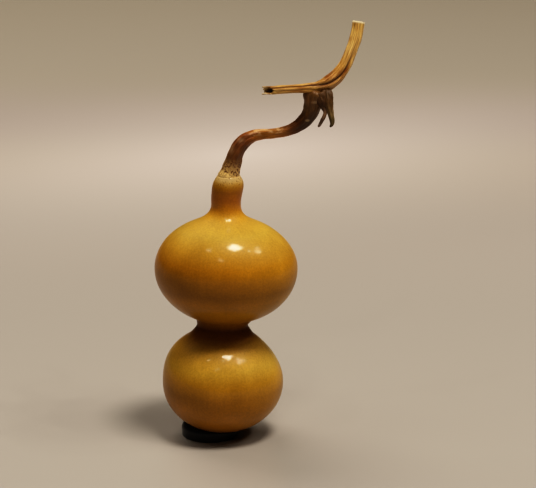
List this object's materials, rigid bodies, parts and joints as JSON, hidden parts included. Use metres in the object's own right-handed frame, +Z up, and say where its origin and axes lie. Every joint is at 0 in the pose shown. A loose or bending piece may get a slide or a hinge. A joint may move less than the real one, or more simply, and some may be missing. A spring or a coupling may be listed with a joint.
{
  "type": "dried bottle gourd on a stand",
  "caption": "Dried, waxed bottle gourd with two bulbs, its bent fruit stalk and a cut length of ridged vine, upright in a low round dished stand.",
  "frame": {"origin": "centre of the stand's flat underside", "axes": "+Z up along the gourd, +X to the side that the fruit stalk bends to, -Y to the front"},
  "size_m": [0.0833, 0.0512, 0.1694],
  "materials": {
    "gourd_shell": "waxed, glossy ochre with a darker grain",
    "stalk_bark": "dry, fibrous, dark red-brown",
    "vine_straw": "dry, ridged, golden straw",
    "stub_bark": "dry, fibrous, olive brown",
    "tendril_bark": "dry, dark brown",
    "stand_rubber": "black, satin"
  },
  "bodies": {
    "root": {"gourd": "gourd_shell", "fruit_stalk": "stalk_bark", "vine": "vine_straw", "leaf_stalk_stub": "stub_bark", "tendril": "tendril_bark", "stand": "stand_rubber"}
  },
  "joints": []
}
